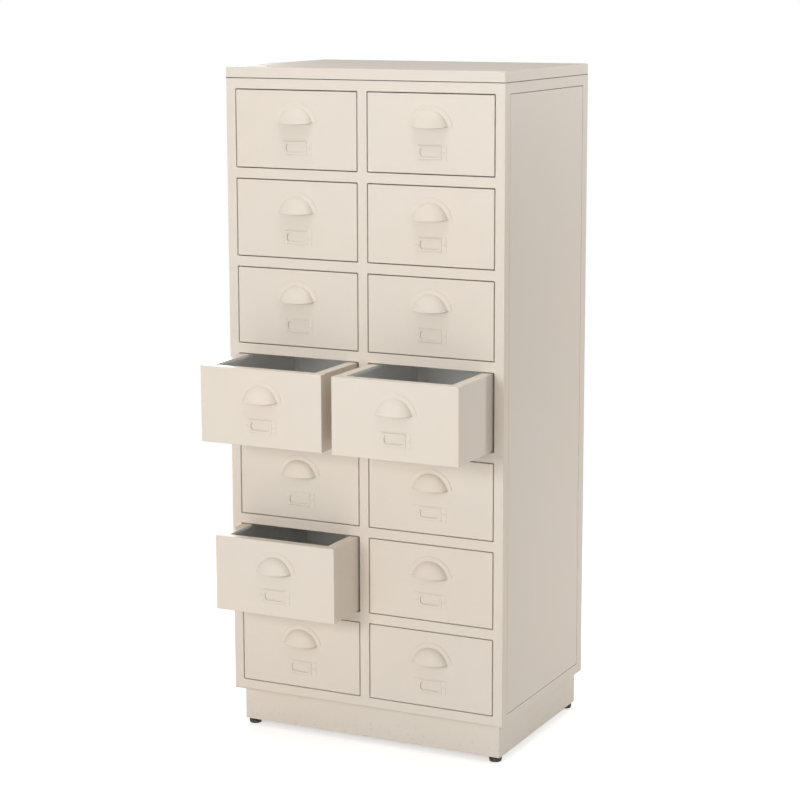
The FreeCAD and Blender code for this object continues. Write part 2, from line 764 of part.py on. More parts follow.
def drawer_pattern():
    body = new_body("drawer_pattern")
    front = rectangle(f"-{FRONT_HALF}", FRONT_HALF, "front_gap", FRONT_TOP)
    add(body, "drawer_front", "XZ_Plane", front, "0", "front_fold")
    side_x = value(FRONT_HALF)

    def front_or_corner(a, b):
        on_front = near(a.y, 0) and near(b.y, 0)
        corner = near(abs(a.x), side_x) and near(a.x, b.x) and near(a.z, b.z)
        return on_front or corner

    round_over(body, "drawer_front_bend", front_or_corner, "front_radius")
    wall_half = f"({FRONT_HALF} - drawer_steel)"
    wall_top = f"({FRONT_TOP} - drawer_steel)"
    hollow = rectangle(f"-{wall_half}", wall_half, "(front_gap + drawer_steel)", wall_top)
    cut(body, "drawer_front_hollow", "XZ_Plane", hollow, "drawer_steel", "front_fold")
    wall_y = "(front_fold - drawer_steel)"
    front_wall = rectangle(f"-{wall_half}", wall_half, BOX_BOTTOM, wall_top)
    add(body, "drawer_front_wall", "XZ_Plane", front_wall, wall_y, "front_fold")
    rim_in = f"({BOX_HALF} - rim_width)"
    hem_end = f"({FRONT_TOP} - rim_hem)"
    line = [
        (f"-{rim_in}", hem_end),
        (f"-{rim_in}", FRONT_TOP),
        (f"-{BOX_HALF}", FRONT_TOP),
        (f"-{BOX_HALF}", BOX_BOTTOM),
        (BOX_HALF, BOX_BOTTOM),
        (BOX_HALF, FRONT_TOP),
        (rim_in, FRONT_TOP),
        (rim_in, hem_end),
    ]
    section = folded(line, "drawer_steel")
    add(body, "drawer_box", "XZ_Plane", section, wall_y, "box_depth")
    rear_face = "(box_depth - drawer_steel)"
    rear_wall = rectangle(f"-{BOX_HALF}", BOX_HALF, BOX_BOTTOM, FRONT_TOP)
    add(body, "drawer_rear_wall", "XZ_Plane", rear_wall, rear_face, "box_depth")
    for side, sign in SIDES:
        inner = f"({sign} * ({BOX_HALF} - drawer_steel))"
        run = sorted((inner, f"({inner} - {sign} * rear_tab)"), key=value)
        tab = rectangle(*run, f"({BOX_BOTTOM} + drawer_steel)", f"({FRONT_TOP} - drawer_steel)")
        tab_start = "(box_depth - 2 * drawer_steel)"
        add(body, f"drawer_{side}_rear_tab", "XZ_Plane", tab, tab_start, rear_face)
        centre = (f"({sign} * rivet_spacing / 2)", LABEL_MIDDLE)
        hole = "(rivet_shank + rivet_gap)"
        drill(body, f"drawer_{side}_rivet_hole", "XZ_Plane", centre, hole, "0", "drawer_steel")
    return body


# Pull: a shallow dome with a torus shoulder, open below its lip, in one sheet with a flat flange.
# Its own origin is the centre of the cup's radius, on the face of the drawer front.
def pull_pattern():
    body = new_body("pull_pattern")
    span = f"({DOME_RADIUS} - pull_shoulder)"
    inside = "(pull_shoulder - pull_steel)"
    foot_r = f"({SHOULDER_R} + sqrt(pull_shoulder ^ 2 - pull_steel ^ 2))"
    flange_r = "(pull_radius + pull_flange)"

    def tangent_point(radius):
        back = f"-({radius} * {DOME_CENTRE} / {span})"
        return back, f"({SHOULDER_R} + {radius} * {SHOULDER_R} / {span})"

    corners = [
        ("-pull_reach", "0", DOME_RADIUS, -1),
        (*tangent_point("pull_shoulder"), "pull_shoulder", -1),
        ("-pull_steel", foot_r),
        ("-pull_steel", flange_r),
        ("0", flange_r),
        ("0", "(pull_radius - pull_steel)", inside, 1),
        (*tangent_point(inside), f"({DOME_RADIUS} - pull_steel)", 1),
        ("-(pull_reach - pull_steel)", "0"),
    ]
    turned(body, "pull_dome", "YZ_Plane", corners, "H_Axis")
    lower = rectangle(f"-{flange_r}", flange_r, f"-{flange_r}", "pull_lip")
    cut(body, "pull_mouth", "XZ_Plane", lower, "-pull_reach", "0")
    return body


# Label holder: two riveted wings and a raised frame with a window, open at the top for a card.
# Its own origin is the middle of its lower edge, on the face of the drawer front.
def label_pattern():
    body = new_body("label_pattern")
    half = "(label_width / 2)"
    frame_half = "(label_frame_width / 2)"
    plate = rectangle(f"-{half}", half, "0", "label_height")
    add(body, "label_wings", "XZ_Plane", plate, "-label_steel", "0")
    frame = rectangle(f"-{frame_half}", frame_half, "0", "label_height")
    add(body, "label_frame", "XZ_Plane", frame, "-label_rise", "-label_steel")
    inner_half = f"({frame_half} - label_steel)"
    slot = rectangle(f"-{inner_half}", inner_half, "label_steel", "label_height")
    cut(body, "label_slot", "XZ_Plane", slot, "-(label_rise - label_steel)", "0")
    side = "(window_width / 2)"
    rise = "(window_height / 2)"
    middle = "(label_height / 2)"
    flat = f"({side} - window_radius)"
    upright = f"({rise} - window_radius)"
    window = [
        (f"-{flat}", f"({middle} - {rise})"),
        (flat, f"({middle} - {rise})", "window_radius", 1),
        (side, f"({middle} - {upright})"),
        (side, f"({middle} + {upright})", "window_radius", 1),
        (flat, f"({middle} + {rise})"),
        (f"-{flat}", f"({middle} + {rise})", "window_radius", 1),
        (f"-{side}", f"({middle} + {upright})"),
        (f"-{side}", f"({middle} - {upright})", "window_radius", 1),
    ]
    cut(body, "label_window", "XZ_Plane", window, "-label_rise", "0")
    for name, sign in SIDES:
        centre = (f"({sign} * rivet_spacing / 2)", middle)
        hole = "(rivet_shank + rivet_gap)"
        drill(body, f"label_{name}_hole", "XZ_Plane", centre, hole, "-label_steel", "0")
    return body


def rivet_pattern():
    """A blind rivet along Y, its head on the wing of a label holder."""
    body = new_body("rivet_pattern")
    tail_r = "(rivet_shank + 2 * rivet_gap + rivet_spread)"
    corners = [
        ("-(label_steel + rivet_head)", "0"),
        ("-(label_steel + rivet_head)", "(rivet_radius - rivet_head / 2)"),
        ("-(label_steel + rivet_head / 2)", "rivet_radius"),
        ("-label_steel", "rivet_radius"),
        ("-label_steel", "rivet_shank"),
        ("drawer_steel", "rivet_shank"),
        ("drawer_steel", tail_r),
        ("(drawer_steel + rivet_tail)", tail_r),
        ("(drawer_steel + rivet_tail)", "0"),
    ]
    turned(body, "rivet_turning", "YZ_Plane", corners, "H_Axis")
    return body


def build_drawers():
    """Every drawer, with its pull and its riveted label holder."""
    drawer = drawer_pattern()
    pull = pull_pattern()
    label = label_pattern()
    rivet = rivet_pattern()
    rivets = []
    for name, sign in SIDES:
        copy = group(f"{name}_rivet", [rivet])
        rivet_x = f"({sign} * rivet_spacing / 2)"
        rivets.append(place(copy, x=rivet_x, y="0", z="(label_height / 2)"))
    made = []
    for row in range(1, int(value("rows")) + 1):
        for side, sign in SIDES:
            name = f"drawer_{side}_{row}"
            x = f"({sign} * {COLUMN_X})"
            y = f"({FRONT_Y} - {STANDING_OPEN.get((row, side), '0')})"
            z = row_bottom(row)
            made.append(place(group(f"{name}_body", [drawer]), x, y, z))
            made.append(place(group(f"{name}_pull", [pull]), x, y, f"({z} + {PULL_Z})"))
            holder = group(f"{name}_label_holder", [label, *rivets])
            made.append(place(holder, x, y, f"({z} + {LABEL_TOP} - label_height)"))
    return made


def build_feet():
    pattern = foot_pattern()
    made = []
    for name, x, y in FEET:
        made.append(place(group(f"{name}_foot", [pattern]), x, f"({FRONT_Y} + {y})"))
    return made


subparts = [top_cap(), bottom_panel(), plinth(), back_panel(), centre_partition()]
for side_name, side_sign in SIDES:
    subparts.append(front_post(side_name, side_sign))
    subparts.append(side_panel(side_name, side_sign))
subparts += [rear_posts(), centre_front_stile(), front_rails(), body_rails(), drawer_runners()]
subparts += build_feet()
subparts += build_drawers()

doc.recompute()

failed = [piece.Label for piece in doc.Objects if {"Invalid", "Error"} & set(piece.State)]
if failed:
    raise SystemExit(f"failed objects: {failed}")
for piece in subparts:
    if piece.Shape.isNull() or not piece.Shape.isValid() or not piece.Shape.Solids:
        raise SystemExit(f"{piece.Label} has no valid solid")

os.makedirs("parts", exist_ok=True)
for piece in subparts:
    piece.Shape.exportStep(f"parts/{piece.Label}.step")
print(f"{len(subparts)} sub-parts, {sum(len(piece.Shape.Solids) for piece in subparts)} solids")
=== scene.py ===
# %% [markdown]
# # A metal drawer cabinet in cream powder coat
# The frame holds the cabinet as the workshop makes it: every folded sheet, runner and foot is
# where it belongs. This script dresses it. It models the parts whose small forms matter to the
# eye, gives every sheet its paint, and sets the light and the camera.

# %% Load the frame
import json
import math

import bmesh
import bpy
from mathutils import Matrix, Vector

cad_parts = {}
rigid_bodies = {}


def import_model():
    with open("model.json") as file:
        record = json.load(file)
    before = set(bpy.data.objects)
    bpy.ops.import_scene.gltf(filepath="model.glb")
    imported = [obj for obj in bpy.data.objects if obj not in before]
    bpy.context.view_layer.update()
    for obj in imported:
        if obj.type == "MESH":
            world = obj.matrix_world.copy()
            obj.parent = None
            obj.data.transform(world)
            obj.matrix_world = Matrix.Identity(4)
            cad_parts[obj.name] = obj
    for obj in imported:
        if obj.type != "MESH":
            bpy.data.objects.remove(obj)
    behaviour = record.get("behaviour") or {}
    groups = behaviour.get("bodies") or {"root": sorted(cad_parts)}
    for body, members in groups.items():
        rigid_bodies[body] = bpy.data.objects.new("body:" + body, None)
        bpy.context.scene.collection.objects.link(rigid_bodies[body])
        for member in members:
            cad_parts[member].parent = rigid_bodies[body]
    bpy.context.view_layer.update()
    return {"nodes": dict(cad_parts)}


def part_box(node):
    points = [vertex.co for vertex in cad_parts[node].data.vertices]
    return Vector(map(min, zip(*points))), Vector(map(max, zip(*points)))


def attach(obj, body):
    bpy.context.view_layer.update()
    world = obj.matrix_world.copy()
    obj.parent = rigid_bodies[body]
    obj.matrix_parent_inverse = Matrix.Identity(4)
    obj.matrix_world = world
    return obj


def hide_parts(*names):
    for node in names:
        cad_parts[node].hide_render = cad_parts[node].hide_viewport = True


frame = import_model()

MM = 0.001
SPIN_STEPS = 40
SAME_POINT = 0.01 * MM

# %% [markdown]
# ## Helpers for modelling by hand
# Blender's operators act on what is selected, so each step first picks faces, edges or points by
# where they are. These few functions do that picking and nothing else, so that the cells below
# read like the steps of a hand at the mouse.


# %% Select one piece, and parts of it
def only(piece):
    """Leave this piece as the only one selected."""
    bpy.ops.object.select_all(action="DESELECT")
    piece.select_set(True)
    bpy.context.view_layer.objects.active = piece


def open_mesh(piece):
    only(piece)
    bpy.ops.object.mode_set(mode="EDIT")
    bpy.ops.mesh.select_mode(type="VERT")
    bpy.ops.mesh.select_all(action="SELECT")


def close_mesh():
    bpy.ops.object.mode_set(mode="OBJECT")


def pick(piece, kind, test):
    """Select the verts, edges or faces of an opened mesh that pass a test; return how many."""
    modes = {"verts": "VERT", "edges": "EDGE", "faces": "FACE"}
    bpy.ops.mesh.select_mode(type=modes[kind])
    bpy.ops.mesh.select_all(action="DESELECT")
    mesh = bmesh.from_edit_mesh(piece.data)
    chosen = [item for item in getattr(mesh, kind) if test(item)]
    for item in chosen:
        item.select_set(True)
    mesh.select_flush_mode()
    bmesh.update_edit_mesh(piece.data)
    return len(chosen)


def middle(item):
    """Middle of an edge or a face."""
    return sum((v.co for v in item.verts), Vector()) / len(item.verts)


def near(a, b, slack=1e-5):
    return abs(a - b) < slack


# %% Apply modifiers, and copy a finished piece to other places
def with_modifier(piece, kind, **settings):
    only(piece)
    modifier = piece.modifiers.new(kind.title(), kind)
    for key, value in settings.items():
        setattr(modifier, key, value)
    bpy.ops.object.modifier_apply(modifier=modifier.name)


def face_front(piece):
    """Make all faces of an open sheet agree, with its front side towards the viewer at -Y."""
    open_mesh(piece)
    bpy.ops.mesh.normals_make_consistent(inside=False)
    mesh = bmesh.from_edit_mesh(piece.data)
    if sum(face.normal.y * face.calc_area() for face in mesh.faces) > 0:
        bpy.ops.mesh.flip_normals()
    close_mesh()


def smooth(piece, angle=35, flat_sheets=True):
    """Soft shading inside the bends; flat sheets keep their own plain normal up to the bend."""
    only(piece)
    bpy.ops.object.shade_smooth_by_angle(angle=math.radians(angle))
    if flat_sheets:
        with_modifier(piece, "WEIGHTED_NORMAL", keep_sharp=True, weight=100)


def copy_to(piece, name, offset):
    """A copy whose mesh is moved, so that its object stays at the origin like the first."""
    twin = piece.copy()
    twin.data = piece.data.copy()
    twin.name = name
    bpy.context.collection.objects.link(twin)
    twin.data.transform(Matrix.Translation(offset))
    return twin


# %% Start a piece as an upright plate, or as a turned form
def upright_plate(name, centre, width, height):
    """A flat plate that faces the viewer at -Y."""
    bpy.ops.object.select_all(action="DESELECT")
    bpy.ops.mesh.primitive_plane_add(size=1, location=centre, rotation=(math.radians(90), 0, 0))
    plate = bpy.context.object
    plate.name = name
    plate.scale = (width, height, 1)
    bpy.ops.object.transform_apply(location=True, rotation=True, scale=True)
    return plate


def turned(name, points, centre, axis, angle):
    """Draw a profile point by point and spin it about an axis; the mesh is left open."""
    bpy.ops.object.select_all(action="DESELECT")
    bpy.ops.mesh.primitive_plane_add(size=2 * MM)
    piece = bpy.context.object
    piece.name = name
    open_mesh(piece)
    bpy.ops.mesh.merge(type="CENTER")
    bpy.ops.transform.translate(value=centre + Vector(points[0]))
    for here, there in zip(points, points[1:]):
        step = tuple(b - a for a, b in zip(here, there))
        bpy.ops.mesh.extrude_vertices_move(TRANSFORM_OT_translate={"value": step})
    bpy.ops.mesh.select_all(action="SELECT")
    bpy.ops.mesh.spin(steps=SPIN_STEPS, angle=angle, center=centre, axis=axis)
    bpy.ops.mesh.select_all(action="SELECT")
    bpy.ops.mesh.remove_doubles(threshold=SAME_POINT)
    return piece


# %% [markdown]
# ## What the frame says
# Two columns of seven drawers. Each drawer's front fills its opening but for a gap of 2 mm, so
# the openings can be read off the drawer fronts, and a drawer that stands open only differs in
# how far forward its front is.

# %% Read the places from the frame
ROWS = range(1, 8)
SIDES = ("left", "right")
DRAWERS = [(side, row) for side in SIDES for row in ROWS]
FRONT_GAP = 2 * MM

post_low, post_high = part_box("left_front_post")
right_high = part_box("right_front_post")[1]
FRONT_Y = post_low.y
STEEL = 1.2 * MM


def front_of(side, row):
    """Lowest and highest corner of a drawer's body."""
    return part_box(f"drawer_{side}_{row}_body")


def opening_of(side, row):
    """Left, right, lower and upper edge of a drawer's opening."""
    low, high = front_of(side, row)
    return low.x - FRONT_GAP, high.x + FRONT_GAP, low.z - FRONT_GAP, high.z + FRONT_GAP


OPENINGS = [opening_of(side, row) for side, row in DRAWERS]
COLUMN_X = (OPENINGS[-1][0] + OPENINGS[-1][1]) / 2
FIRST_OPENING = min(box[2] for box in OPENINGS)
ROW_PITCH = front_of("left", 1)[0].z - front_of("left", 2)[0].z
left, right, low, high = OPENINGS[0]
print("opening", round((right - left) / MM), "x", round((high - low) / MM))

# %% [markdown]
# ## The front frame
# On the real cabinet the posts, the upright and the rails are welded into one grille and the
# welds are ground flat, so no seam shows. Each opening has small round corners and its edges are
# folded back. A flat plate gives the same thing in the same order as in the workshop: it is cut
# into a grid, the openings come out, every free edge is folded back, and the corners between two
# folds are rounded.

# %% Cut a plate into the grid of openings
FRAME_W = right_high.x - post_low.x
FRAME_H = post_high.z - post_low.z
frame_middle = Vector(((post_low.x + right_high.x) / 2, FRONT_Y, (post_low.z + post_high.z) / 2))
front_frame = upright_plate("front_frame", frame_middle, FRAME_W, FRAME_H)

cuts_x = sorted({round(x, 6) for box in OPENINGS for x in box[:2]})
cuts_z = sorted({round(z, 6) for box in OPENINGS for z in box[2:]})
cuts = [((x, 0, 0), (1, 0, 0)) for x in cuts_x] + [((0, 0, z), (0, 0, 1)) for z in cuts_z]
open_mesh(front_frame)
for place, direction in cuts:
    bpy.ops.mesh.select_all(action="SELECT")
    bpy.ops.mesh.bisect(plane_co=place, plane_no=direction)
close_mesh()
print("grid", len(cuts_x), "x", len(cuts_z), "faces", len(front_frame.data.polygons))

# %% Take the openings out and fold their edges back
FOLD = 16 * MM
MARGIN = 8 * MM


def inside_opening(point):
    return any(
        left + MARGIN < point.x < right - MARGIN and low + MARGIN < point.z < high - MARGIN
        for left, right, low, high in OPENINGS
    )


def extrude_picked_edges(shift):
    bpy.ops.mesh.extrude_edges_move(TRANSFORM_OT_translate={"value": shift})


open_mesh(front_frame)
taken = pick(front_frame, "faces", lambda face: inside_opening(face.calc_center_median()))
bpy.ops.mesh.delete(type="FACE")
folds = pick(front_frame, "edges", lambda edge: edge.is_boundary)
extrude_picked_edges((0, FOLD, 0))
close_mesh()
print("openings", taken, "folded edges", folds)

# %% Round the corners of the openings
CORNER_R = 2.5 * MM
CORNER_STEPS = 5


def opening_corner(edge):
    a, b = (v.co for v in edge.verts)
    runs_back = near(a.x, b.x) and near(a.z, b.z)
    on_grid = any(near(a.x, x) for x in cuts_x) and any(near(a.z, z) for z in cuts_z)
    return runs_back and on_grid and not near(a.y, b.y)


open_mesh(front_frame)
rounded = pick(front_frame, "edges", opening_corner)
bpy.ops.mesh.bevel(
    offset=CORNER_R, segments=CORNER_STEPS, affect="EDGES", clamp_overlap=False
)
close_mesh()
print("corners", rounded)

# %% Step the outer posts back to the ledge that carries the side panel
POST_SIDE = 24 * MM
PANEL_FOLD = 10.4 * MM
LEDGE = 14 * MM
open_mesh(front_frame)
for outer_x, inwards in ((post_low.x, 1), (right_high.x, -1)):

    def rear_side_edge(edge):
        place = middle(edge)
        return edge.is_boundary and near(place.x, outer_x) and near(place.y, FRONT_Y + FOLD)

    pick(front_frame, "edges", rear_side_edge)
    extrude_picked_edges((0, POST_SIDE - FOLD, 0))
    extrude_picked_edges((inwards * PANEL_FOLD, 0, 0))
    extrude_picked_edges((0, LEDGE, 0))
close_mesh()

# %% Soften the folds and give the sheet its thickness
FRAME_BEND = 1.5 * MM
FRAME_BEND_STEPS = 4
FOLD_ANGLE = math.radians(60)


def front_fold(edge):
    flat = all(near(v.co.y, FRONT_Y) for v in edge.verts)
    return flat and not edge.is_boundary and edge.calc_face_angle(0) > FOLD_ANGLE


open_mesh(front_frame)
bent = pick(front_frame, "edges", front_fold)
bpy.ops.mesh.bevel(
    offset=FRAME_BEND, segments=FRAME_BEND_STEPS, affect="EDGES", clamp_overlap=False
)
close_mesh()
face_front(front_frame)
with_modifier(front_frame, "SOLIDIFY", thickness=STEEL, offset=-1, use_even_offset=True)
smooth(front_frame)
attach(front_frame, "case")
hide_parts("left_front_post", "right_front_post", "centre_front_stile", "front_rails")
print("bends", bent, "faces", len(front_frame.data.polygons))

# %% [markdown]
# ## The cup pull
# A pressed cup pull is a shallow dome that turns back to the drawer in a tight shoulder and ends
# in a flat flange. Its open lower edge is rolled so that it doesn't cut the fingers. The dome is
# a turned form, so a profile is spun half a turn about the pull's axis, and everything below
# the lip is cut off.

# %% Where a pull sits
PULL_R = 41 * MM
PULL_LIP = 9 * MM
LIP_DIP = 4.5 * MM
PULL_REACH = 22 * MM
PULL_SHOULDER = 16 * MM
PULL_FLANGE = 10.5 * MM
PULL_SHEET = 1.2 * MM
FOOT_FILLET = 1.6 * MM
FLANGE_EDGE = 0.6 * MM
DOME_STEPS = 9
FILLET_STEPS = 4

pull_low, pull_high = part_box("drawer_left_1_pull")
PULL_X = (pull_low.x + pull_high.x) / 2
PULL_FACE = pull_high.y
PULL_Z = pull_high.z - PULL_R - PULL_FLANGE
pull_axis = Vector((PULL_X, PULL_FACE, PULL_Z))

# %% Work out the profile: dome, shoulder, fillet, flange
SHOULDER_R = PULL_R - PULL_SHOULDER
RISE = PULL_REACH - PULL_SHOULDER
DOME_BACK = (SHOULDER_R**2 - RISE**2) / (2 * RISE)
DOME_R = DOME_BACK + PULL_REACH
turn_over = math.atan2(SHOULDER_R, DOME_BACK)


def arc(radius, centre_r, centre_y, start, end, steps):
    """Points (distance from the axis, distance in front of the drawer) along an arc."""
    points = []
    for i in range(steps + 1):
        angle = start + (end - start) * i / steps
        points.append((centre_r + radius * math.sin(angle), centre_y + radius * math.cos(angle)))
    return points


dome = arc(DOME_R, 0, -DOME_BACK, 0, turn_over, DOME_STEPS)
fillet_r = PULL_SHOULDER + FOOT_FILLET
fillet_centre_y = PULL_SHEET + FOOT_FILLET
fillet_centre_r = SHOULDER_R + math.sqrt(fillet_r**2 - fillet_centre_y**2)
meets = math.atan2(fillet_centre_r - SHOULDER_R, fillet_centre_y)
shoulder = arc(PULL_SHOULDER, SHOULDER_R, 0, turn_over, meets, DOME_STEPS)
swing = (math.pi + meets, math.pi)
fillet = arc(FOOT_FILLET, fillet_centre_r, fillet_centre_y, *swing, FILLET_STEPS)
outer_r = PULL_R + PULL_FLANGE
flange = [(outer_r - FLANGE_EDGE, PULL_SHEET), (outer_r, FLANGE_EDGE)]
profile = dome + shoulder[1:] + fillet[1:] + flange
print("profile points", len(profile), "tip", [round(v / MM, 2) for v in profile[0]])

# %% Spin the profile and cut it off at the lip
LIP_CUT_SLACK = 1e-6
pull_points = [(r, -y, 0) for r, y in profile]
pull = turned("drawer_left_1_cup_pull", pull_points, pull_axis, (0, 1, 0), math.pi)
bpy.ops.mesh.select_all(action="SELECT")
lip_place = pull_axis + Vector((0, 0, PULL_LIP))
lip_normal = Vector((0, -LIP_DIP, PULL_REACH)).normalized()
bpy.ops.mesh.bisect(
    plane_co=lip_place, plane_no=lip_normal, clear_inner=True, threshold=LIP_CUT_SLACK
)
bpy.ops.mesh.select_all(action="SELECT")
bpy.ops.mesh.normals_make_consistent(inside=False)
close_mesh()
print("pull spans", [round(v / MM, 1) for v in pull.dimensions])

# %% Roll the lip: a thin bead along the open edge of the dome
BEAD_R = 1.1 * MM
ABOVE_FLANGE = 1.5 * PULL_SHEET
PULL_SMOOTH = 40


def on_lip(edge):
    place = middle(edge)
    low = near((place - lip_place).dot(lip_normal), 0)
    return low and edge.is_boundary and place.y < PULL_FACE - ABOVE_FLANGE


open_mesh(pull)
lip_edges = pick(pull, "edges", on_lip)
bpy.ops.mesh.duplicate()
bpy.ops.mesh.separate(type="SELECTED")
close_mesh()
bead = next(piece for piece in bpy.context.selected_objects if piece is not pull)
only(bead)
bpy.ops.object.convert(target="CURVE")
bead.data.bevel_depth = BEAD_R
bead.data.bevel_resolution = 3
bead.data.use_fill_caps = True
bpy.ops.object.convert(target="MESH")
bead.data.transform(Matrix.Translation((0, PULL_SHEET / 2, BEAD_R)))
face_front(pull)
with_modifier(pull, "SOLIDIFY", thickness=PULL_SHEET, offset=-1, use_even_offset=True)
bpy.ops.object.select_all(action="DESELECT")
bead.select_set(True)
pull.select_set(True)
bpy.context.view_layer.objects.active = pull
bpy.ops.object.join()

# The bead stands a little proud of the lip, so the whole pull is pressed back to the CAD's reach.
reach = PULL_FACE - min(point.co.y for point in pull.data.vertices)
press = Matrix.Scale((PULL_FACE - pull_low.y) / reach, 4, (0, 1, 0))
pull.data.transform(Matrix.Translation(pull_axis) @ press @ Matrix.Translation(-pull_axis))
smooth(pull, PULL_SMOOTH, flat_sheets=False)
print("lip edges", lip_edges, "pull faces", len(pull.data.polygons))
print("reach", round(reach / MM, 2), "pressed back to", round((PULL_FACE - pull_low.y) / MM, 2))

# %% [markdown]
# ## The label holder
# A thin pressed plate: two wings lie flat and take a rivet each, and between them a frame is
# raised far enough for a card. Its window has rounded ends and an edge that is turned in. It
# starts as a flat plate too: the raised part is pushed forward and its folds are softened. Then
# the window is outlined by an inset, its corners are rounded, and it is cut out.

# %% Make the plate and raise the frame
LABEL_SHEET = 0.8 * MM
LABEL_RISE = 2.5 * MM
LABEL_W = 74 * MM
LABEL_H = 32 * MM
RAISED_W = 55 * MM
RAISED_MARGIN = 1.2 * MM
RAISED_DRAFT = 1.8 * MM
LABEL_BEND = 0.5 * MM
LABEL_FOLD_ANGLE = math.radians(40)
BEND_STEPS = 2
WINDOW_W = 45 * MM
WINDOW_H = 18 * MM
WINDOW_R = 7 * MM
WINDOW_CORNER_STEPS = 7
WINDOW_BEND = 0.3 * MM
WINDOW_INSET = 4 * MM

label_low, label_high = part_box("drawer_left_1_label_holder")
LABEL_X = (label_low.x + label_high.x) / 2
LABEL_Z = (label_low.z + label_high.z) / 2
label_middle = Vector((LABEL_X, PULL_FACE - LABEL_SHEET, LABEL_Z))
label = upright_plate("drawer_left_1_label_frame", label_middle, LABEL_W, LABEL_H)
open_mesh(label)
for sign in (-1, 1):
    side_cut = label_middle + Vector((sign * RAISED_W / 2, 0, 0))
    level_cut = label_middle + Vector((0, 0, sign * (LABEL_H / 2 - RAISED_MARGIN)))
    for place, direction in ((side_cut, (1, 0, 0)), (level_cut, (0, 0, 1))):
        bpy.ops.mesh.select_all(action="SELECT")
        bpy.ops.mesh.bisect(plane_co=place, plane_no=direction)


def raised_face(face):
    offset = face.calc_center_median() - label_middle
    return abs(offset.x) < RAISED_W / 4 and abs(offset.z) < LABEL_H / 4


pick(label, "faces", raised_face)
forward = (0, LABEL_SHEET - LABEL_RISE, 0)
bpy.ops.mesh.extrude_region_move(TRANSFORM_OT_translate={"value": forward})
raised_h = LABEL_H - 2 * RAISED_MARGIN
slope = (1 - 2 * RAISED_DRAFT / RAISED_W, 1, 1 - 2 * RAISED_DRAFT / raised_h)
bpy.ops.transform.resize(value=slope, center_override=label_middle)


def sharp_fold(edge):
    return not edge.is_boundary and edge.calc_face_angle(0) > LABEL_FOLD_ANGLE


label_folds = pick(label, "edges", sharp_fold)
bpy.ops.mesh.bevel(offset=LABEL_BEND, segments=BEND_STEPS, affect="EDGES")
close_mesh()
print("label folds", label_folds)

# %% Outline the window, round its corners, and cut it out
WINDOW_Y = label_middle.y + forward[1]


def centre_face(face):
    place = face.calc_center_median()
    return near(place.y, WINDOW_Y) and (place - label_middle).xz.length < MM


def at_front(face):
    return near(face.calc_center_median().y, WINDOW_Y)


open_mesh(label)
pick(label, "faces", at_front)
bpy.ops.mesh.inset(thickness=WINDOW_INSET)
pick(label, "faces", centre_face)
mesh = bmesh.from_edit_mesh(label.data)
window = next(face for face in mesh.faces if face.select)
wide = max(v.co.x for v in window.verts) - min(v.co.x for v in window.verts)
tall = max(v.co.z for v in window.verts) - min(v.co.z for v in window.verts)
bpy.ops.transform.resize(value=(WINDOW_W / wide, 1, WINDOW_H / tall))
bpy.ops.mesh.select_mode(type="VERT")
bpy.ops.mesh.bevel(
    offset=WINDOW_R, segments=WINDOW_CORNER_STEPS, affect="VERTICES", clamp_overlap=False
)
pick(label, "faces", centre_face)
bpy.ops.mesh.delete(type="FACE")


def window_edge(edge):
    return edge.is_boundary and near(middle(edge).y, WINDOW_Y)


turned_in = pick(label, "edges", window_edge)
extrude_picked_edges((0, LABEL_RISE - LABEL_SHEET, 0))
pick(label, "edges", sharp_fold)
bpy.ops.mesh.bevel(offset=WINDOW_BEND, segments=BEND_STEPS, affect="EDGES")
close_mesh()
print("window", round(wide / MM, 1), round(tall / MM, 1), "edge", turned_in)

# %% Thicken it and add the two rivets
RIVET_R = 2.3 * MM
RIVET_X = 32 * MM
RIVET_FLATNESS = 0.42
LABEL_SMOOTH = 40
face_front(label)
with_modifier(label, "SOLIDIFY", thickness=LABEL_SHEET, offset=-1, use_even_offset=True)
rivets = []
for sign in (-1, 1):
    rivet_place = label_middle + Vector((sign * RIVET_X, 0, 0))
    bpy.ops.object.select_all(action="DESELECT")
    bpy.ops.mesh.primitive_uv_sphere_add(
        segments=20, ring_count=12, radius=RIVET_R, location=rivet_place
    )
    rivet = bpy.context.object
    rivet.scale = (1, RIVET_FLATNESS, 1)
    bpy.ops.object.transform_apply(location=True, rotation=True, scale=True)
    open_mesh(rivet)
    bpy.ops.mesh.bisect(plane_co=rivet_place, plane_no=(0, 1, 0), clear_outer=True, use_fill=True)
    close_mesh()
    rivets.append(rivet)
bpy.ops.object.select_all(action="DESELECT")
for piece in (*rivets, label):
    piece.select_set(True)
bpy.context.view_layer.objects.active = label
bpy.ops.object.join()
smooth(label, LABEL_SMOOTH)
print("label faces", len(label.data.polygons))

# %% Copy the pull and the label holder to every drawer
first_low = front_of("left", 1)[0]
for side, row in DRAWERS:
    name = f"drawer_{side}_{row}"
    shift = front_of(side, row)[0] - first_low
    for made, node in ((pull, "pull"), (label, "label_holder")):
        first = (side, row) == ("left", 1)
        title = made.name.replace("drawer_left_1", name)
        piece = made if first else copy_to(made, title, shift)
        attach(piece, name)
        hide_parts(f"{name}_{node}")
print("drawers dressed", len(DRAWERS))

# %% [markdown]
# ## Levelling feet
# Each foot is a moulded disc on a threaded stud. The disc has a rounded rim and a slightly
# hollow sole; the stud shows for a few millimetres between the disc and the plinth. Both are
# turned forms, drawn as one profile and spun a full turn.

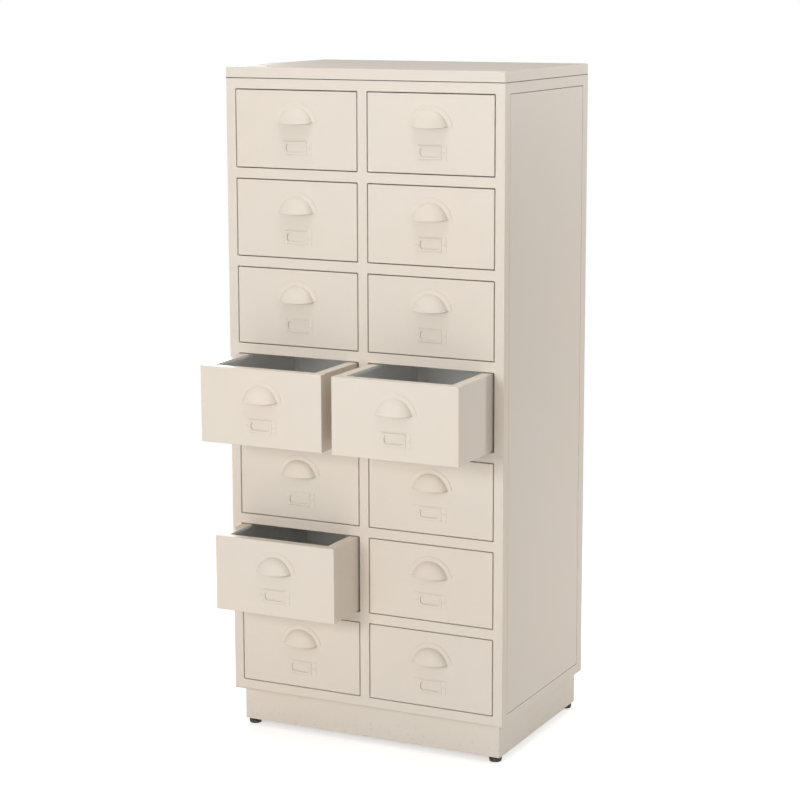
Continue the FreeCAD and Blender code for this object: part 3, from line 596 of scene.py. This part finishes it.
# %% Spin a foot and copy it to the four corners
FOOT_R = 14 * MM
SOLE_R = 12 * MM
DISC = 8 * MM
HOLLOW = 0.6 * MM
HOLLOW_R = SOLE_R - 3 * MM
SOLE_RING_R = SOLE_R - 2 * MM
FLANK_TOP = 5.2 * MM
RIM_BEND = 1.2 * MM
RIM_BEND_MIDDLE = 0.4 * MM
COLLAR = 0.3 * MM
COLLAR_R = 7 * MM
STUD_R = 4 * MM
STUD_TOP = 50 * MM
STUD_CHAMFER = 0.8 * MM
PITCH = 1.25 * MM
THREAD_DEPTH = 0.6 * MM
THREAD_START = DISC + 0.8 * MM
THREAD_TURNS = 3
FOOT_SMOOTH = 30

thread = []
for i in range(THREAD_TURNS):
    level = THREAD_START + i * PITCH
    thread += [(STUD_R, level), (STUD_R - THREAD_DEPTH, level + PITCH / 2)]
foot_profile = [
    (0, HOLLOW),
    (HOLLOW_R, HOLLOW),
    (SOLE_RING_R, 0),
    (SOLE_R, 0),
    (SOLE_R + 0.6 * MM, 0.3 * MM),
    (FOOT_R - 0.3 * MM, FLANK_TOP - MM),
    (FOOT_R, FLANK_TOP),
    (FOOT_R, DISC - RIM_BEND),
    (FOOT_R - RIM_BEND_MIDDLE, DISC - RIM_BEND_MIDDLE),
    (FOOT_R - RIM_BEND, DISC),
    (COLLAR_R, DISC),
    (COLLAR_R, DISC + COLLAR),
    (STUD_R, DISC + COLLAR),
    *thread,
    (STUD_R, THREAD_START + THREAD_TURNS * PITCH),
    (STUD_R, STUD_TOP - STUD_CHAMFER),
    (STUD_R - STUD_CHAMFER, STUD_TOP),
    (0, STUD_TOP),
]
foot_low, foot_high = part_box("left_front_foot")
foot_place = Vector(((foot_low.x + foot_high.x) / 2, (foot_low.y + foot_high.y) / 2, 0))
foot_points = [(r, 0, z) for r, z in foot_profile]
foot = turned("left_front_levelling_foot", foot_points, foot_place, (0, 0, 1), 2 * math.pi)
bpy.ops.mesh.normals_make_consistent(inside=False)
close_mesh()
smooth(foot, FOOT_SMOOTH, flat_sheets=False)
feet = []
for side in SIDES:
    for end in ("front", "rear"):
        node = f"{side}_{end}_foot"
        low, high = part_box(node)
        shift = Vector(((low.x + high.x) / 2, (low.y + high.y) / 2, 0)) - foot_place
        first = node == "left_front_foot"
        piece = foot if first else copy_to(foot, f"{side}_{end}_levelling_foot", shift)
        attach(piece, node)
        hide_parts(node)
        feet.append(piece)
print("feet", len(feet), "faces each", len(foot.data.polygons))

# %% [markdown]
# ## Writing shader maths as Python
# A socket wrapped in a small class can be added, multiplied and compared like a number; each
# operator adds one Math node. Every other node comes from one method, so that a finish reads as
# a recipe: where on the object, how much of each effect, and what it does to colour and gloss.


# %% The wrapped socket
class Wire:
    """One output socket. Arithmetic on it adds Math nodes to the same material."""

    def __init__(self, tree, socket):
        self.tree = tree
        self.socket = socket

    def math(self, operation, other=0.0):
        node = self.tree.nodes.new("ShaderNodeMath")
        node.operation = operation
        feed(self.tree, node.inputs[0], self)
        feed(self.tree, node.inputs[1], other)
        return Wire(self.tree, node.outputs[0])

    def __abs__(self):
        return self.math("ABSOLUTE")

    def __add__(self, other):
        return self.math("ADD", other)

    def __sub__(self, other):
        return self.math("SUBTRACT", other)

    def __mul__(self, other):
        return self.math("MULTIPLY", other)

    def __truediv__(self, other):
        return self.math("DIVIDE", other)

    def __gt__(self, other):
        return self.math("GREATER_THAN", other)

    def __lt__(self, other):
        return self.math("LESS_THAN", other)

    def __mod__(self, other):
        return self.math("FLOORED_MODULO", other)


def feed(tree, socket, value):
    """Link a wire to a socket, or set the socket to a plain value."""
    if isinstance(value, Wire):
        tree.links.new(value.socket, socket)
    else:
        socket.default_value = value


# %% The material recipe
OBJECT_PLACE = 3
HEIGHT = 2
LENGTH = 1


class Finish:
    """A material with a Principled shader, built node by node."""

    def __init__(self, name, **constants):
        self.material = bpy.data.materials.new(name)
        self.material.use_nodes = True
        self.tree = self.material.node_tree
        self.tree.nodes.clear()
        self.shader = self.tree.nodes.new("ShaderNodeBsdfPrincipled")
        self.output = self.tree.nodes.new("ShaderNodeOutputMaterial")
        self.show(self.surface())
        for key, value in constants.items():
            self.shader.inputs[key.replace("_", " ")].default_value = value

    def add(self, kind, settings=None, sockets=None, outlet=0):
        """Any node: its settings first, then the values or wires of its sockets."""
        node = self.tree.nodes.new(kind)
        for key, value in (settings or {}).items():
            if key == "stops":
                self.set_stops(node.color_ramp, value)
            else:
                setattr(node, key, value)
        for key, value in (sockets or {}).items():
            feed(self.tree, node.inputs[key], value)
        return Wire(self.tree, node.outputs[outlet])

    def set_stops(self, ramp, stops):
        while len(ramp.elements) > 1:
            ramp.elements.remove(ramp.elements[-1])
        for i, (place, grey) in enumerate(stops):
            stop = ramp.elements[0] if i == 0 else ramp.elements.new(place)
            stop.position = place
            stop.color = (grey, grey, grey, 1)

    def place(self):
        """The point of the surface in the frame's own axes."""
        return self.add("ShaderNodeTexCoord", outlet=OBJECT_PLACE)

    def axis(self, place, outlet):
        return self.add("ShaderNodeSeparateXYZ", None, {"Vector": place}, outlet)

    def noise(self, place, size, detail=2.0, roughness=0.5):
        """Noise whose patches are about this size across."""
        sockets = {"Vector": place, "Scale": 1 / size, "Detail": detail, "Roughness": roughness}
        return self.add("ShaderNodeTexNoise", None, sockets)

    def ramp(self, value, *stops):
        return self.add("ShaderNodeValToRGB", {"stops": stops}, {"Fac": value})

    def bump(self, strength, distance, height):
        sockets = {"Strength": strength, "Distance": distance, "Height": height}
        return self.add("ShaderNodeBump", None, sockets)

    def blend(self, share, first, second):
        settings = {"data_type": "RGBA"}
        return self.add("ShaderNodeMix", settings, {0: share, 6: first, 7: second}, outlet=2)

    def set(self, name, value):
        feed(self.tree, self.shader.inputs[name], value)

    def surface(self):
        return Wire(self.tree, self.shader.outputs[0])

    def show(self, shader):
        self.tree.links.new(shader.socket, self.output.inputs[0])


def spread(value, low, high):
    """Stretch a value of 0 to 1 over a range."""
    return value * (high - low) + low


# %% [markdown]
# ## Cream powder coat
# Powder coat is sprayed dry and baked, which leaves a satin skin with a very fine orange peel.
# On this cabinet it is a warm off-white. It isn't perfectly even: the film is a little thicker
# on one sheet than the next, and the plinth gathers scuffs. Each of these is a mask in object
# space that shifts colour and gloss only slightly.

# %% The colours of the paint
CREAM_COOL = (0.80, 0.74, 0.66, 1)
CREAM_WARM = (0.81, 0.73, 0.635, 1)
# Painted fill light: a light cool grey that stands in for the cool light inside the drawers;
# their sheet is the same cream.
INSIDE_PAINTED_FILL = (0.92, 0.925, 0.91, 1)
SCUFF = (0.50, 0.46, 0.40, 1)
# Painted shade: the near-black that stands in for the shadow in the narrow joint under the cap.
JOINT_PAINTED_SHADE = (0.045, 0.038, 0.032, 1)
CAP_JOINT = (post_high.z + 0.05 * MM, post_high.z + 1.55 * MM)

# %% The sizes of its marks, and where a drawer's inside is
ORANGE_PEEL = 1.4 * MM
SPECK = 0.35 * MM
SMEAR = 38 * MM
FILM_PATCH = 260 * MM
SCUFF_MARK = 9 * MM
SCUFF_HEIGHT = 90 * MM
SCUFF_ROUGH = 0.2
HALF_SHEET = 0.4 * MM
BOX_HALF = 142 * MM
BOX_FLOOR = 3 * MM
BOX_TOP = 166 * MM
BOX_DEPTH = 406 * MM
PAN_DEPTH = 20 * MM


def inside_drawer(finish, place, front_y):
    """1 on the inner faces of a drawer whose front stands at front_y, 0 outside."""
    x, y, z = (finish.axis(place, outlet) for outlet in range(3))
    aside = abs(abs(x) - COLUMN_X)
    height = (z - FIRST_OPENING) % ROW_PITCH
    across = aside < BOX_HALF - HALF_SHEET
    above = height > BOX_FLOOR + HALF_SHEET
    below = height < BOX_TOP - HALF_SHEET
    behind = y > front_y + PAN_DEPTH - HALF_SHEET
    ahead = y < front_y + BOX_DEPTH - HALF_SHEET
    return across * above * below * behind * ahead


def in_cap_joint(finish, place):
    """1 in the narrow joint under the cap, where a shadow is painted in, 0 elsewhere."""
    z = finish.axis(place, HEIGHT)
    return (z > CAP_JOINT[0]) * (z < CAP_JOINT[1])


# %% The recipe of the paint
def powder_coat(name, scuffs=0.0, gloss=0.42, peel=0.012, front_y=None):
    """Satin powder coat; scuffs is how much of it is rubbed near the floor, and front_y marks
    drawers, whose insides get a light cool grey as painted fill light."""
    finish = Finish(name, IOR=1.5)
    place = finish.place()
    film = finish.noise(place, FILM_PATCH, 3.0)
    cloud = finish.ramp(film, (0.32, 0.0), (0.68, 1.0))
    colour = finish.blend(cloud, CREAM_WARM, CREAM_COOL)
    fine = finish.noise(place, ORANGE_PEEL)
    speck = finish.noise(place, SPECK, 1.0)
    colour = finish.blend(finish.ramp(speck, (0.62, 0.0), (0.80, 0.25)), colour, SCUFF)
    smear = finish.noise(place, SMEAR, 4.0, 0.6)
    rough = spread(smear, gloss - 0.06, gloss + 0.08) + fine * 0.03
    if scuffs:
        height = finish.axis(place, HEIGHT)
        low = finish.ramp(height / SCUFF_HEIGHT, (0.15, 1.0), (1.0, 0.0))
        marks = finish.noise(place, SCUFF_MARK, 5.0, 0.7)
        rubbed = finish.ramp(marks, (0.56, 0.0), (0.66, 1.0)) * low * scuffs
        colour = finish.blend(rubbed, colour, SCUFF)
        rough = rough + rubbed * SCUFF_ROUGH
    # Painted shade: the joint under the cap is coloured near black, the shadow in the gap.
    colour = finish.blend(in_cap_joint(finish, place), colour, JOINT_PAINTED_SHADE)
    # Painted fill light: a drawer's inside gets a light cool grey in place of the cream paint.
    if front_y is not None:
        colour = finish.blend(inside_drawer(finish, place, front_y), colour, INSIDE_PAINTED_FILL)
    finish.set("Base Color", colour)
    finish.set("Roughness", rough)
    finish.set("Normal", finish.bump(0.5, peel * MM, fine + smear * 0.4))
    return finish.material


case_paint = powder_coat("cream_powder_coat")
plinth_paint = powder_coat("cream_powder_coat_scuffed", scuffs=0.35)
hardware_paint = powder_coat("cream_powder_coat_hardware", gloss=0.52, peel=0.008)
print("paints ready")

# %% [markdown]
# ## Dark moulded plastic
# The feet are moulded in a dark grey plastic, matt from the mould, with dust on the flanks.

# %% Foot plastic
GREY = (0.055, 0.055, 0.058, 1)
DUST = (0.16, 0.155, 0.145, 1)
GRAIN = 0.5 * MM
GRAIN_DEPTH = 0.03 * MM
DUST_PATCH = 7 * MM
foot_finish = Finish("foot_plastic_dark")
foot_spot = foot_finish.place()
grain = foot_finish.noise(foot_spot, GRAIN)
dusty = foot_finish.noise(foot_spot, DUST_PATCH, 4.0, 0.6)
dust_mask = foot_finish.ramp(dusty, (0.45, 0.0), (0.75, 0.6))
foot_finish.set("Base Color", foot_finish.blend(dust_mask, GREY, DUST))
foot_finish.set("Roughness", spread(dusty, 0.45, 0.7))
foot_finish.set("Normal", foot_finish.bump(0.4, GRAIN_DEPTH, grain))

# %% Give every piece its finish
def paint(piece, material):
    piece.data.materials.clear()
    piece.data.materials.append(material)


drawer_paints = {}
for name, node in frame["nodes"].items():
    if name.startswith("drawer_") and name.endswith("_body"):
        front_y = round(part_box(name)[0].y, 4)
        if front_y not in drawer_paints:
            title = f"cream_powder_coat_drawers_{len(drawer_paints) + 1}"
            drawer_paints[front_y] = powder_coat(title, gloss=0.40, front_y=front_y)
        paint(node, drawer_paints[front_y])
    elif name == "plinth":
        paint(node, plinth_paint)
    elif name.endswith("_foot"):
        paint(node, foot_finish.material)
    else:
        paint(node, case_paint)
paint(front_frame, case_paint)
for piece in bpy.data.objects:
    if piece.name.endswith(("_cup_pull", "_label_frame")):
        paint(piece, hardware_paint)
for piece in feet:
    paint(piece, foot_finish.material)

# %% [markdown]
# ## Floor, light and camera
# The cabinet stands on a plain pale floor that runs off into white. One large soft light stands
# in front, a little to the left and as high as the cabinet, so the lower rows get less of it. A
# weak one beside it softens its shadows, one overhead reaches into the open drawers, one from
# behind on the right lights the side panel, and one from behind on the left lights the back. The
# world fills in the rest.

# %% Floor
FLOOR_SIZE = 60
FLOOR_GREY = (0.86, 0.86, 0.86, 1)
FLOOR_FADE = (1.1, 2.2)
FLOOR_LIFT = 0.5
WHITE = (1, 1, 1, 1)
bpy.ops.object.select_all(action="DESELECT")
bpy.ops.mesh.primitive_plane_add(size=FLOOR_SIZE, location=(0, 0, 0))
floor = bpy.context.object
floor.name = "floor"
floor_paint = Finish("pale_floor", Base_Color=FLOOR_GREY, Roughness=0.9)
lit = floor_paint.surface()
spot = floor_paint.place()
away = floor_paint.add("ShaderNodeVectorMath", {"operation": "LENGTH"}, {0: spot}, LENGTH)
share = (away - FLOOR_FADE[0]) / (FLOOR_FADE[1] - FLOOR_FADE[0])
far = floor_paint.ramp(share, (0.0, 0.0), (1.0, 1.0))
seen = floor_paint.add("ShaderNodeLightPath")
glow = floor_paint.add("ShaderNodeEmission", None, {"Color": WHITE, "Strength": 1.0})
lift = floor_paint.add("ShaderNodeEmission", None, {"Color": WHITE, "Strength": FLOOR_LIFT})
lifted = floor_paint.add("ShaderNodeAddShader", None, {0: lit, 1: lift})
shown = floor_paint.add("ShaderNodeMixShader", None, {0: far, 1: lifted, 2: glow})
floor_look = floor_paint.add("ShaderNodeMixShader", None, {0: seen, 1: lit, 2: shown})
floor_paint.show(floor_look)
paint(floor, floor_paint.material)

# %% World
FILL_COLOUR = (1.0, 0.98, 0.96, 1)
FILL_STRENGTH = 0.36
scene = bpy.context.scene
world = bpy.data.worlds.new("studio")
scene.world = world
world.use_nodes = True
sky = world.node_tree
sky.nodes.clear()
sky_out = sky.nodes.new("ShaderNodeOutputWorld")
fill_light = sky.nodes.new("ShaderNodeBackground")
fill_light.inputs["Color"].default_value = FILL_COLOUR
fill_light.inputs["Strength"].default_value = FILL_STRENGTH
white = sky.nodes.new("ShaderNodeBackground")
white.inputs["Color"].default_value = WHITE
sky_mix = sky.nodes.new("ShaderNodeMixShader")
sky_ray = sky.nodes.new("ShaderNodeLightPath")
sky.links.new(sky_ray.outputs["Is Camera Ray"], sky_mix.inputs[0])
sky.links.new(fill_light.outputs[0], sky_mix.inputs[1])
sky.links.new(white.outputs[0], sky_mix.inputs[2])
sky.links.new(sky_mix.outputs[0], sky_out.inputs[0])

# %% Lamps
SOFT_WHITE = (1.0, 0.985, 0.965)
WARM_WHITE = (1.0, 0.975, 0.955)
PLAIN_WHITE = (1, 1, 1)


def lamp(name, place, target, size, power, colour):
    """A square soft light at a place, aimed at a target."""
    data = bpy.data.lights.new(name, "AREA")
    data.size = size
    data.energy = power
    data.color = colour
    light = bpy.data.objects.new(name, data)
    bpy.context.collection.objects.link(light)
    light.location = place
    aim = Vector(target) - Vector(place)
    light.rotation_euler = aim.to_track_quat("-Z", "Y").to_euler()


lamp("key", (-0.6, -3.8, 1.5), (0, 0, 1.1), 1.2, 51, SOFT_WHITE)
lamp("front", (0.6, -4.0, 1.4), (0, 0, 1.1), 1.2, 12, SOFT_WHITE)
lamp("overhead", (0.2, -0.6, 3.4), (0, 0, 1.0), 1.2, 19, PLAIN_WHITE)
lamp("rear_right", (2.3, 2.4, 1.9), (0.3, 0, 0.8), 0.6, 40, WARM_WHITE)
lamp("rear_left", (-2.4, 2.6, 1.7), (0, 0, 0.8), 1.0, 40, SOFT_WHITE)

# %% Camera
CAMERA_PLACE = (2.1373, -4.2986, 1.6496)
TURN = math.radians(26.187)
TILT = math.radians(-10.069)
ROLL = math.radians(0.144)
SENSOR = 36
LENS = 101.10
LENS_SHIFT = -0.03
cam_data = bpy.data.cameras.new("camera")
camera = bpy.data.objects.new("camera", cam_data)
bpy.context.collection.objects.link(camera)
aimed = Matrix.Rotation(TURN, 4, "Z") @ Matrix.Rotation(math.pi / 2 + TILT, 4, "X")
rolled = aimed @ Matrix.Rotation(-ROLL, 4, "Z")
camera.matrix_world = Matrix.Translation(CAMERA_PLACE) @ rolled
cam_data.sensor_width = SENSOR
cam_data.lens = LENS
cam_data.shift_y = LENS_SHIFT
cam_data.clip_end = 100
scene.camera = camera
scene.view_settings.view_transform = "Standard"

# %% [markdown]
# ## Finish

# %% Clear the selection
bpy.ops.object.select_all(action="DESELECT")
